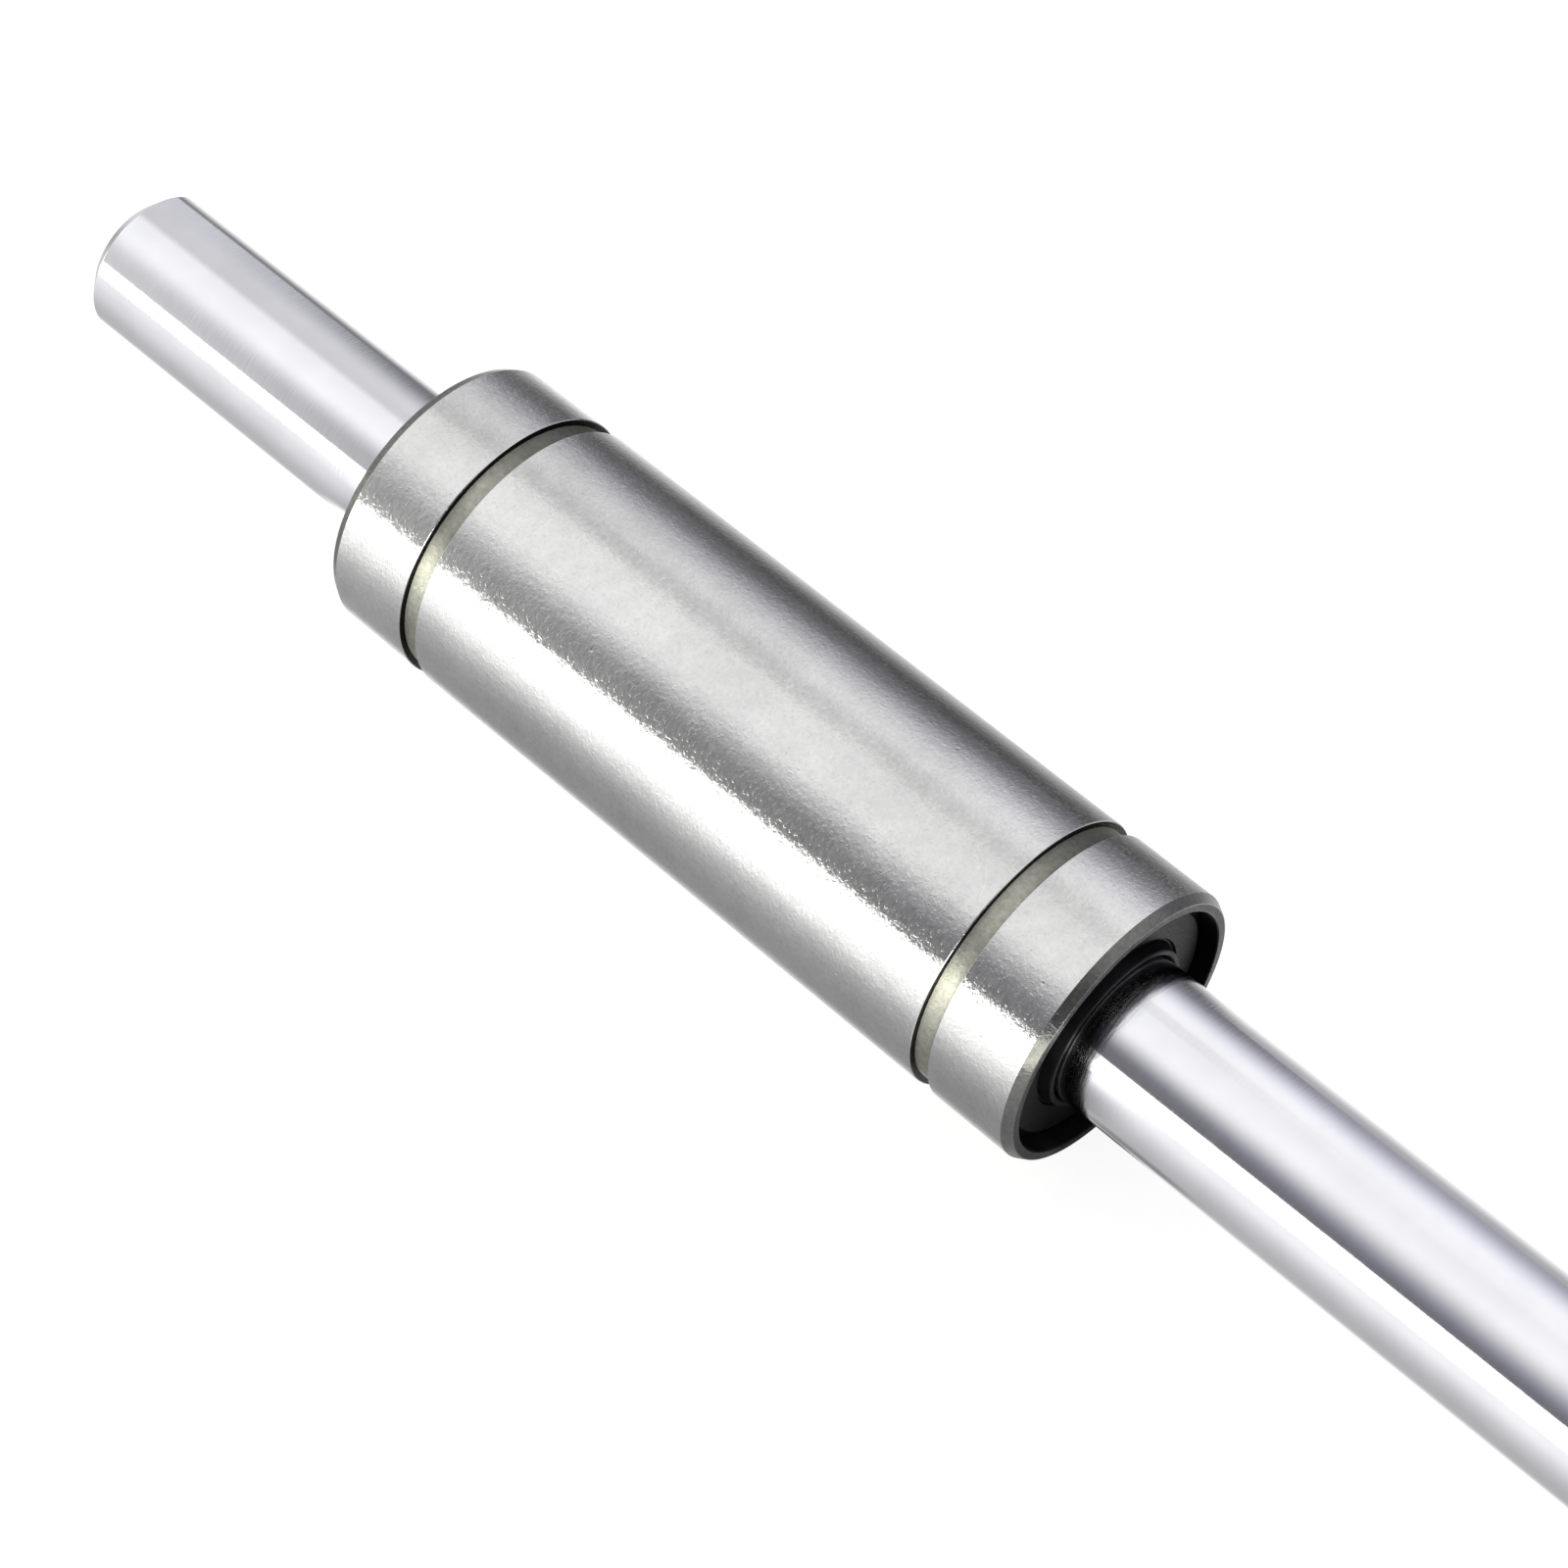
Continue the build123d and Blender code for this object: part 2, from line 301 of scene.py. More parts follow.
def mesh_points(mesh):
    """A mesh's points as x and radius about the shaft."""
    flat = np.empty(len(mesh.vertices) * 3, np.float32)
    mesh.vertices.foreach_get("co", flat)
    points = flat.reshape(-1, 3)
    return points[:, 0], np.hypot(points[:, 1], points[:, 2])


def even_angles(count):
    """Evenly spaced angles of one turn."""
    return np.arange(count) * (2 * math.pi / count)


def add_object(data):
    """A new object in the scene, with its data's name."""
    made = bpy.data.objects.new(data.name, data)
    bpy.context.scene.collection.objects.link(made)
    return made


def add_piece(mesh, material, node):
    """Makes the piece that stands for a node and rides on that node's body."""
    mesh.materials.append(material)
    piece = add_object(mesh)
    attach(piece, frame["nodes"][node]["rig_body"])
    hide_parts(node)


class Finish:
    """The node tree of a material or a world, with short calls for the nodes that they share."""

    def __init__(self, name, kind="materials"):
        self.owner = getattr(bpy.data, kind).new(name)
        self.owner.use_nodes = True
        self.tree = self.owner.node_tree
        self.tree.nodes.clear()
        self.ending = "ShaderNodeOutputWorld" if kind == "worlds" else "ShaderNodeOutputMaterial"

    def node(self, kind, inputs=None, **settings):
        """Adds a node, sets its settings, and links or sets its inputs by name or number."""
        made = self.tree.nodes.new(kind)
        for name, value in settings.items():
            setattr(made, name, value)
        for name, value in (inputs or {}).items():
            self.fill(made.inputs[name], value)
        return made

    def fill(self, socket, value):
        """Links or sets an input."""
        if isinstance(value, bpy.types.NodeSocket):
            self.tree.links.new(value, socket)
        else:
            socket.default_value = value

    def coordinates(self, scale=(1.0, 1.0, 1.0)):
        """Object coordinates, stretched by a scale for each axis and given in millimetres times it."""
        source = self.node("ShaderNodeTexCoord").outputs["Object"]
        size = [value / MM for value in scale]
        return self.node("ShaderNodeMapping", {"Vector": source, "Scale": size}).outputs["Vector"]

    def axes(self):
        """The object coordinates X, Y and Z as numbers in millimetres."""
        place = self.coordinates()
        return self.node("ShaderNodeSeparateXYZ", {0: place}).outputs

    def noise(self, vector, scale, detail=2.0, rough=0.5):
        """Fractal noise from 0 to 1."""
        inputs = {"Vector": vector, "Scale": scale, "Detail": detail, "Roughness": rough}
        return self.node("ShaderNodeTexNoise", inputs).outputs[0]

    def cells(self, vector, scale, feature="F1"):
        """Cell noise: distance and a random colour for each cell."""
        return self.node("ShaderNodeTexVoronoi", {"Vector": vector, "Scale": scale}, feature=feature)

    def math(self, operation, first, second=0.0, clamp=False):
        """One operation on two numbers."""
        made = self.node("ShaderNodeMath", {0: first, 1: second}, operation=operation, use_clamp=clamp)
        return made.outputs[0]

    def remap(self, value, low, high, to_low=0.0, to_high=1.0, smooth=True):
        """A number moved from one range to another, held at its ends."""
        inputs = {
            "Value": value, "From Min": low, "From Max": high, "To Min": to_low, "To Max": to_high,
        }
        kind = "SMOOTHSTEP" if smooth else "LINEAR"
        return self.node("ShaderNodeMapRange", inputs, interpolation_type=kind).outputs["Result"]

    def between(self, first, second, part):
        """A number between two: the first where the part is 0 and the second where it is 1."""
        return self.mixed("Float", part, first, second, data_type="FLOAT", clamp_factor=False)

    def mix(self, part, first, second, blend="MIX"):
        """A colour between two."""
        return self.mixed("Color", part, first, second, data_type="RGBA", blend_type=blend)

    def mixed(self, kind, part, first, second, **settings):
        """A mix node's result. Its sockets share their names, so they go by identifier."""
        made = self.node("ShaderNodeMix", **settings)
        inputs = {"Factor_Float": part, f"A_{kind}": first, f"B_{kind}": second}
        for socket in made.inputs:
            if socket.identifier in inputs:
                self.fill(socket, inputs[socket.identifier])
        return next(s for s in made.outputs if s.identifier == f"Result_{kind}")

    def clouded(self, cloud, rgb, low, high):
        """A colour that a noise makes a little darker and brighter."""
        return self.mix(self.remap(cloud, 0.35, 0.65), opaque(rgb, low), opaque(rgb, high))

    def sum(self, *terms):
        """The sum of several numbers."""
        total = terms[0]
        for term in terms[1:]:
            total = self.math("ADD", total, term)
        return total

    def times(self, *factors):
        """The product of several numbers."""
        product = factors[0]
        for factor in factors[1:]:
            product = self.math("MULTIPLY", product, factor)
        return product

    def less(self, first, second):
        """The first number less the second."""
        return self.math("SUBTRACT", first, second)

    def window(self, value, start, stop):
        """1 between two values, each given as where its soft edge starts and ends."""
        return self.times(self.remap(value, *start), self.remap(value, *stop, 1.0, 0.0))

    def mark(self, name):
        """A number stored on the piece's points."""
        return self.node("ShaderNodeAttribute", attribute_name=name).outputs["Fac"]

    def bump(self, height):
        """Bump of a height in millimetres."""
        inputs = {"Height": height, "Distance": MM, "Strength": 1.0}
        return self.node("ShaderNodeBump", inputs).outputs["Normal"]

    def turned_metal(self, base, rough, height):
        """Ends the tree in a metal whose lay runs around the shaft and spreads its gloss along it."""
        along_shaft = self.node("ShaderNodeCombineXYZ", {"X": 1.0}).outputs[0]
        return self.surface({
            "Base Color": base, "Metallic": 1.0, "Roughness": rough, "Normal": self.bump(height),
            "Anisotropic": 0.9, "Tangent": along_shaft,
        })

    def surface(self, inputs):
        """Ends the tree in one principled shader with these inputs."""
        self.output(self.node("ShaderNodeBsdfPrincipled", inputs).outputs["BSDF"])
        return self.owner

    def either(self, part, first, second):
        """A shader between two, by their nodes: the first where the part is 0."""
        inputs = {0: part, 1: first.outputs[0], 2: second.outputs[0]}
        return self.node("ShaderNodeMixShader", inputs)

    def output(self, shader):
        """Links a shader to the tree's output."""
        self.node(self.ending, {"Surface": shader})


def opaque(rgb, brightness=1.0):
    """A colour as the four numbers of a colour socket."""
    return (rgb[0] * brightness, rgb[1] * brightness, rgb[2] * brightness, 1.0)


def ground_steel(look):
    """Ground outside: a mottle, soft clouds, specks, round dents and hair scratches.

    The scratches are the lines where a slow noise crosses its middle, kept in a few patches. The
    turned chamfers and end faces are darker, and rougher as the groove floors are. A painted shade
    darkens those floors towards the far side, painted shade makes the grooves' walls and the bore
    nearly black, and a painted highlight lightens the rounded outer edges.
    """
    tree = Finish("ground_steel")
    place = tree.coordinates()
    mottle = tree.noise(tree.coordinates((1.3, 1.0, 1.0)), 3.4, 2.0, 0.55)
    speck = tree.noise(tree.coordinates((1.2, 1.0, 1.0)), 5.0, 1.0, 0.5)
    lay = tree.noise(tree.coordinates((7.0, 1.0, 1.0)), 1.1, 2.0, 0.5)
    patches = tree.noise(place, 0.16, 4.0, 0.55)
    fine = tree.noise(place, 4.0, 3.0, 0.65)
    cloud = tree.noise(place, 1.1, 3.0, 0.6)
    wave = tree.noise(tree.coordinates((0.3, 1.0, 1.0)), 0.6, 2.0, 0.5)
    dents = tree.cells(place, 1.1)
    chosen = tree.math("GREATER_THAN", dents.outputs["Color"], 0.76)
    dent = tree.times(tree.remap(dents.outputs["Distance"], 0.0, 0.14, 1.0, 0.0), chosen)
    crossing = tree.math("ABSOLUTE", tree.less(tree.noise(place, 0.5, 0.0), 0.5))
    scratched = tree.remap(tree.noise(place, 0.3, 1.0), 0.56, 0.62)
    scratch = tree.times(tree.remap(crossing, 0.0, 0.012, 1.0, 0.0), scratched)
    turned = tree.mark("turned")
    faced = tree.mark("faced")
    groove = tree.mark("groove")
    dark = tree.mark("dark")
    worked = tree.sum(turned, faced, groove, dark)
    ground = tree.less(1.0, worked)
    base = tree.clouded(patches, look.steel, 0.96, 1.04)
    base = tree.mix(tree.remap(speck, 0.45, 0.3, 0.0, 0.25), base, opaque(look.steel, 0.72))
    base = tree.mix(tree.times(scratch, 0.2), base, opaque(look.steel, 1.25))
    base = tree.mix(turned, base, opaque(look.turned))
    base = tree.mix(faced, base, opaque(look.faced))
    base = tree.mix(groove, base, opaque(look.groove_steel))
    # Painted shade: the groove floors grow darker towards the far side, in soft clouds.
    painted_groove_shade = tree.remap(tree.sum(tree.axes()["Y"], tree.times(patches, 3.0)), -1.5, 3.5)
    base = tree.mix(tree.times(painted_groove_shade, groove, 0.62), base, opaque(look.dark))
    # Painted shade: the grooves' walls and the bore are made nearly black.
    base = tree.mix(dark, base, opaque(look.dark))
    # Painted highlight: the rounded edges are lighter, less on the chamfers and end faces, none in the
    # painted shade.
    painted_highlight_share = tree.less(0.3, tree.times(tree.sum(turned, faced), 0.2))
    painted_edge_highlight = tree.times(tree.mark("edge"), tree.less(1.0, dark), painted_highlight_share)
    base = tree.mix(painted_edge_highlight, base, opaque(look.steel))
    uneven = tree.less(fine, 0.5)
    tone = tree.sum(1.0, tree.times(uneven, tree.sum(0.20, tree.times(worked, 0.6))))
    tone = tree.sum(tone, tree.times(tree.less(cloud, 0.5), 0.22))
    grey = tree.node("ShaderNodeCombineColor", {"Red": tone, "Green": tone, "Blue": tone}).outputs[0]
    base = tree.mix(1.0, base, grey, "MULTIPLY")
    rough = tree.remap(mottle, 0.3, 0.7, look.gloss * 0.85, look.gloss * 1.2)
    rough = tree.sum(
        rough, tree.times(turned, 0.10), tree.times(faced, 0.25), tree.times(groove, 0.40),
        tree.times(dark, 0.20),
    )
    height = tree.sum(
        tree.times(mottle, 0.010),
        tree.times(tree.remap(speck, 0.55, 0.72), 0.004),
        tree.times(lay, 0.002),
        tree.times(wave, 0.020),
        tree.times(dent, -0.014),
        tree.times(scratch, -0.0015, ground),
    )
    return tree.turned_metal(base, rough, height)


def polished_steel(look):
    """Hardened and polished shaft: a bright lavender steel with a faint lay around it.

    The end faces and chamfers are greyer and rougher, with turning marks in rings.
    """
    tree = Finish("shaft_steel")
    place = tree.coordinates()
    cloud = tree.noise(place, 0.35, 3.0, 0.5)
    lay = tree.noise(tree.coordinates((7.0, 0.7, 0.7)), 1.2, 2.0, 0.5)
    base = tree.clouded(cloud, look.steel, 0.98, 1.02)
    faced = tree.mark("faced")
    axes = tree.axes()
    squares = tree.sum(tree.times(axes["Y"], axes["Y"]), tree.times(axes["Z"], axes["Z"]))
    radius = tree.node("ShaderNodeCombineXYZ", {"X": tree.math("SQRT", squares)}).outputs[0]
    rings = tree.noise(radius, 5.0, 1.0)
    base = tree.mix(faced, base, opaque(look.faced))
    base = tree.mix(tree.times(faced, tree.remap(rings, 0.4, 0.7), 0.3), base, opaque(look.steel))
    # Painted highlight: the rounded edges are lighter.
    base = tree.mix(tree.times(tree.mark("edge"), 0.5), base, opaque(look.steel, 1.15))
    rough = tree.remap(lay, 0.3, 0.7, look.gloss * 0.85, look.gloss * 1.2)
    rough = tree.sum(rough, tree.times(faced, 0.2))
    height = tree.sum(
        tree.times(lay, 0.0025), tree.times(cloud, 0.004), tree.times(rings, faced, 0.01)
    )
    return tree.turned_metal(base, rough, height)


def moulded_rubber(look):
    """Black seal rubber: satin, with a fine moulded grain and a little dust in it."""
    tree = Finish("seal_rubber")
    place = tree.coordinates()
    grain = tree.noise(place, 7.0, 3.0, 0.6)
    cloud = tree.noise(place, 0.9, 3.0, 0.5)
    base = tree.mix(tree.remap(cloud, 0.4, 0.7), opaque(look.rubber), opaque(look.rubber, 2.0))
    rough = tree.remap(grain, 0.3, 0.7, 0.36, 0.5)
    height = tree.sum(tree.times(grain, 0.004), tree.times(cloud, 0.003))
    return tree.surface({
        "Base Color": base, "Roughness": rough, "Normal": tree.bump(height),
        "Specular IOR Level": 0.085,
    })


def hidden_metal(name, rgb, gloss, lay_scale):
    """Finish of a metal piece inside: its colour with a fine lay in the steel."""
    tree = Finish(name)
    lay = tree.noise(tree.coordinates(lay_scale), 1.5, 3.0, 0.6)
    cloud = tree.noise(tree.coordinates(), 0.8, 3.0, 0.5)
    base = tree.clouded(cloud, rgb, 0.93, 1.07)
    rough = tree.remap(lay, 0.3, 0.7, gloss * 0.8, gloss * 1.25)
    normal = tree.bump(tree.sum(tree.times(lay, 0.002), tree.times(cloud, 0.002)))
    return tree.surface({"Base Color": base, "Metallic": 1.0, "Roughness": rough, "Normal": normal})


def moulded_resin(name, rgb):
    """Natural moulded resin of the retainers: cream, with a fine grain."""
    tree = Finish(name)
    place = tree.coordinates()
    grain = tree.noise(place, 6.0, 3.0, 0.6)
    cloud = tree.noise(place, 0.5, 3.0, 0.5)
    base = tree.clouded(cloud, rgb, 0.94, 1.04)
    rough = tree.remap(grain, 0.3, 0.7, 0.42, 0.56)
    normal = tree.bump(tree.times(grain, 0.004))
    return tree.surface({"Base Color": base, "Roughness": rough, "Normal": normal})


def finish_nodes(names, material):
    """Gives CAD nodes a finish."""
    for name in names:
        piece = frame["nodes"][name]
        piece.data.materials.clear()
        piece.data.materials.append(material)


def slot_colour(slot):
    """The record's colour for a material slot."""
    return next(entry["base_color"] for entry in frame["record"]["materials"] if entry["slot"] == slot)


class BEARING_OT_guide_shaft(bpy.types.Operator):
    """Turned and polished guide shaft with a chamfer at both ends"""

    bl_idname = "bearing.guide_shaft"
    bl_label = "Guide Shaft"

    def execute(self, context):
        size = context.scene.bearing_shaft
        neck = size.radius - size.chamfer
        corners = [
            (size.front, 0.0),
            (size.front, neck),
            (size.front - size.chamfer, size.radius),
            (size.rear + size.chamfer, size.radius),
            (size.rear, neck),
            (size.rear, 0.0),
        ]
        rows = rounded_outline(corners, [0.0] + [size.edge] * 4 + [0.0], closed=False)
        mesh = turned_mesh("ground_shaft", rows, even_angles(192), closed=False)
        x, _ = mesh_points(mesh)
        ends = size.chamfer - size.edge / 4
        add_mark(mesh, "faced", (x > size.front - ends) | (x < size.rear + ends))
        add_piece(mesh, polished_steel(size), "guide_shaft")
        return {"FINISHED"}


class BEARING_OT_outer_sleeve(bpy.types.Operator):
    """Ground outer sleeve: ring grooves outside, raceways and relief pockets inside"""

    bl_idname = "bearing.outer_sleeve"
    bl_label = "Outer Sleeve"

    def front_corners(self, size):
        """The front half's section from the raceway round to the ground outside."""
        seal_low, seal_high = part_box("front_seal")
        snap_low, snap_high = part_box("front_snap_ring")
        ring_low, ring_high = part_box("front_end_ring")
        ball_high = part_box("front_balls_1")[1]
        seal_fit = bpy.context.scene.bearing_seals.fit
        bore = seal_high.z + seal_fit
        play = seal_low.x - snap_high.x
        shoulder = ring_low.x - play
        snap_start = snap_low.x - play
        snap_bore = snap_high.z + play
        raceway = ball_high.z + size.raceway_gap
        groove_front = size.groove + size.groove_width / 2
        groove_back = size.groove - size.groove_width / 2
        lowered = size.radius - size.groove_break
        return [
            (shoulder, raceway),
            (shoulder, bore),
            (snap_start, bore),
            (snap_start, snap_bore),
            (seal_low.x, snap_bore),
            (seal_low.x, bore),
            (size.end - size.mouth_break, bore),
            (size.end, bore + size.mouth_break),
            (size.end, size.radius - size.chamfer_depth),
            (size.end - size.chamfer_length, size.radius),
            (groove_front + size.groove_break, size.radius),
            (groove_front, lowered),
            (groove_front, size.groove_radius),
            (groove_back, size.groove_radius),
            (groove_back, lowered),
            (groove_back - size.groove_break, size.radius),
        ]

    def mark(self, size, mesh):
        """Tells the finish where the chamfers, end faces, groove floors, and the walls and bore with
        painted shade are.
        """
        x, radius = mesh_points(mesh)
        small = 0.002 * MM
        along = np.abs(x)
        faced = along > size.end - small
        chamfer = (along > size.end - size.chamfer_length + small) & ~faced
        in_groove = np.abs(along - size.groove) < size.groove_width / 2 + small
        floor = in_groove & (radius < size.groove_radius + small)
        wall = in_groove & ~floor & (radius < size.radius - size.groove_break + small)
        mouth = size.radius - size.chamfer_depth - size.rim
        bore = (radius < mouth) & ~faced & (along < size.end - small)
        add_mark(mesh, "turned", chamfer & ~bore)
        add_mark(mesh, "faced", faced)
        add_mark(mesh, "groove", floor & ~bore)
        # The grooves' walls and the bore get the painted shade mark.
        add_mark(mesh, "dark", wall | (bore & ~in_groove) | (bore & in_groove & ~floor))

    def pockets(self, size, rows, angles, shoulder):
        """Added radius of the relief pockets: their depth on the raceway's rows, where an angle lies
        between a pocket's two sides, measured from the loaded row of each quarter.

        The near side is a fixed reach from that row, and the far side is a pad's wall past the balls.
        """
        low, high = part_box("front_retainer")
        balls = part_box("front_balls_1")[1]
        raceway = balls.z + size.raceway_gap
        near_side = 0.34 * MM
        pad_wall = 0.556 * MM
        far_side = balls.y + pad_wall + size.relief_gap
        relief = high.z + size.relief_gap
        start = math.asin(near_side / relief)
        stop = math.asin(far_side / relief)
        quarter = np.mod(-angles, math.pi / 2)
        inside = (quarter > start) & (quarter < stop)
        on_raceway = (np.abs(rows[:, 0]) <= shoulder + size.edge) & (rows[:, 1] < raceway + size.edge)
        return (relief - raceway) * on_raceway[:, None] * inside[None, :]

    def execute(self, context):
        size = context.scene.bearing_sleeve
        front = self.front_corners(size)
        rear = [(-x, radius) for x, radius in reversed(front)]
        corners = front + rear
        rim = (size.end, size.radius - size.chamfer_depth)
        rounds = [size.rim if (abs(x), radius) == rim else size.edge for x, radius in corners]
        rows = rounded_outline(corners, rounds, closed=True)
        angles = even_angles(288)
        pocket = self.pockets(size, rows, angles, front[0][0])
        mesh = turned_mesh("sleeve", rows, angles, closed=True, pocket=pocket)
        self.mark(size, mesh)
        add_piece(mesh, ground_steel(size), "outer_sleeve")
        return {"FINISHED"}


class BEARING_OT_end_seals(bpy.types.Operator):
    """Moulded seals at both ends, each a stepped disc with a valley and a lip around the shaft"""

    bl_idname = "bearing.end_seals"
    bl_label = "End Seals"

    def section(self, size, shaft):
        """Corners and roundings of the front seal, with the steel core's pocket in its back."""
        low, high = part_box("front_seal")
        core_low, core_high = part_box("front_seal_core")
        bond = size.fit
        lip = shaft.radius + size.lip_gap
        crest = high.x
        face = crest - size.lip_height
        disc = high.z - size.step_width
        land_depth, core_distance = 0.22 * MM, 0.66 * MM
        valley_width, valley_taper = 0.12 * MM, 0.01 * MM
        land = crest - land_depth
        pocket = core_high.x + bond
        core_outer = core_high.z + bond
        core_inner = lip + core_distance
        inner_face = lip + size.lip_width
        return [
            (low.x, lip + size.lip_flare, size.edge),
            (land - size.lip_land, lip, size.edge),
            (land, lip, 0.02 * MM),
            (crest, lip + size.lip_bevel, 0.05 * MM),
            (crest, lip + size.lip_thickness, 0.1 * MM),
            (face - size.valley, inner_face - valley_width, 0.06 * MM),
            (face - size.valley / 2, inner_face - valley_taper, 0.04 * MM),
            (face, inner_face, size.edge),
            (face, disc, 0.08 * MM),
            (face - size.step_depth, disc, size.edge),
            (face - size.step_depth, high.z, size.edge),
            (low.x, high.z, size.edge),
            (low.x, core_outer, 0.02 * MM),
            (pocket, core_outer, 0.02 * MM),
            (pocket, core_inner, 0.02 * MM),
            (low.x, core_inner, 0.02 * MM),
        ]

    def execute(self, context):
        size = context.scene.bearing_seals
        section = self.section(size, context.scene.bearing_shaft)
        corners = [(x, radius) for x, radius, _ in section]
        rounds = [round_radius for _, _, round_radius in section]
        rubber = moulded_rubber(size)
        rows = rounded_outline(corners, rounds, closed=True, steps=6, longest=0.6 * MM)
        mesh = turned_mesh("seal_front", rows, even_angles(240), closed=True)
        add_piece(mesh, rubber, "front_seal")
        mirrored = rows[::-1] * np.array([-1.0, 1.0, -1.0, 1.0, 1.0])
        mesh = turned_mesh("seal_rear", mirrored, even_angles(240), closed=True)
        add_piece(mesh, rubber, "rear_seal")
        return {"FINISHED"}


class BEARING_OT_ball_retainers(bpy.types.Operator):
    """Resin finish of the two ball retainers and the spacer between them"""

    bl_idname = "bearing.ball_retainers"
    bl_label = "Ball Retainers"

    def execute(self, context):
        resin = moulded_resin("cage_resin", slot_colour("cage_resin"))
        finish_nodes(["front_retainer", "rear_retainer", "center_spacer"], resin)
        return {"FINISHED"}


class BEARING_OT_ball_circuits(bpy.types.Operator):
    """Polished finish of the ball circuits"""

    bl_idname = "bearing.ball_circuits"
    bl_label = "Ball Circuits"

    def execute(self, context):
        steel = hidden_metal("ball_steel", slot_colour("ball_steel"), 0.08, (1.0, 1.0, 1.0))
        finish_nodes([name for name in frame["nodes"] if "_balls_" in name], steel)
        return {"FINISHED"}


class BEARING_OT_end_closures(bpy.types.Operator):
    """Finish of the end rings, the seals' steel cores and the snap rings"""

    bl_idname = "bearing.end_closures"
    bl_label = "End Closures"

    def execute(self, context):
        lay = (1.0, 5.0, 5.0)
        pressed = hidden_metal("pressed_steel", slot_colour("pressed_steel"), 0.3, lay)
        spring = hidden_metal("spring_steel", slot_colour("spring_steel"), 0.35, lay)
        finish_nodes(["front_end_ring", "rear_end_ring", "front_seal_core", "rear_seal_core"], pressed)
        finish_nodes(["front_snap_ring", "rear_snap_ring"], spring)
        return {"FINISHED"}


def dim_level(tree, size, along, turn, rear, front):
    """Brightness of the tent between its lights.

    The far side brightens beyond both ends of the part. The near side brightens towards the
    rear with the square of the place along it.
    """
    far = tree.sum(size.dim, tree.times(rear, 0.58), tree.times(front, 0.28))
    back = tree.remap(along, -60, -230, smooth=False)
    near = tree.sum(0.20, tree.times(back, back, 0.55))
    return tree.between(far, near, tree.remap(turn, -20, 20))


def overhead_level(tree, size, along, turn):
    """Brightness of the overhead light.

    Its far half weakens towards the rear, and its near half is a little brighter there and on
    its outer side. A strip between the halves is darker above the middle. Beyond the front end
    only the far half is left.
    """
    middle = tree.window(along, (-200, -160), (-80, -35))
    behind = tree.window(along, (-200, -165), (-150, -120))
    beyond = tree.remap(along, 110, 170)
    far_half = tree.remap(along, -80, -230, 1.07, 0.69, smooth=False)
    near_half = tree.sum(1.0, tree.times(behind, 0.08))
    halves = tree.between(far_half, near_half, tree.remap(turn, -24, -12))
    strip = tree.times(tree.window(turn, (-36, -29), (-21, -14)), middle, -0.22)
    slope = tree.times(tree.window(turn, (-20, 20), (22, 50)), 0.10)
    top = tree.sum(tree.times(size.overhead, halves), strip, slope)
    return tree.between(top, tree.remap(turn, -25, 22, 0.95, 0.12), beyond)


def key_level(tree, size, along, turn):
    """Brightness of the key light, a low strip that starts at a sharp line.

    The line lies lower towards the rear. The strip is brighter near the floor and beyond the
    front end.
    """
    shift = tree.remap(along, -36, -230, -1.2, 5.4, smooth=False)
    edge = tree.remap(tree.less(turn, shift), 65.0, 66.0)
    key = tree.remap(along, 60, 160, size.key, size.key + size.key_end)
    foot = tree.remap(turn, 69, 80, 0.0, size.key_foot)
    return tree.times(edge, tree.sum(key, foot))


def tent_level(tree, size, along, turn):
    """Brightness of the tent by the place along it in millimetres and the angle in degrees.

    The overhead light rises from the far side and falls towards the camera's left. A dim stretch
    follows, and then the key light. The fall is softer at the front and longer at the rear.
    """
    rear = tree.remap(along, -195, -240)
    front = tree.remap(along, -80, -35)
    fall_end = tree.sum(tree.times(rear, 8.0), 52.0)
    sharp_fall = tree.remap(turn, 17, fall_end, 1.0, 0.0)
    soft_fall = tree.remap(turn, 8, 62, 1.0, 0.0)
    falling = tree.between(sharp_fall, soft_fall, front)
    shape = tree.times(tree.remap(turn, -88, -41), falling)
    dim = dim_level(tree, size, along, turn, rear, front)
    top = overhead_level(tree, size, along, turn)
    return tree.sum(tree.between(dim, top, shape), key_level(tree, size, along, turn))


def tent_tint(tree, along, turn):
    """Colour of the tent: lavender on the far side and in the dim stretch, and a warm key foot."""
    front = tree.remap(along, -100, -50)
    dim_strip = tree.times(tree.window(turn, (30, 48), (60, 65)), front)
    share_behind = tree.sum(0.5, tree.times(front, 0.5))
    far_side = tree.times(tree.remap(turn, -30, -80), share_behind)
    light = tree.mix(tree.remap(turn, 68, 76), (1.0, 1.0, 1.0, 1.0), (1.0, 1.0, 0.90, 1.0))
    cool = tree.math("MAXIMUM", far_side, dim_strip)
    return tree.mix(cool, light, (0.965, 0.955, 1.08, 1.0))


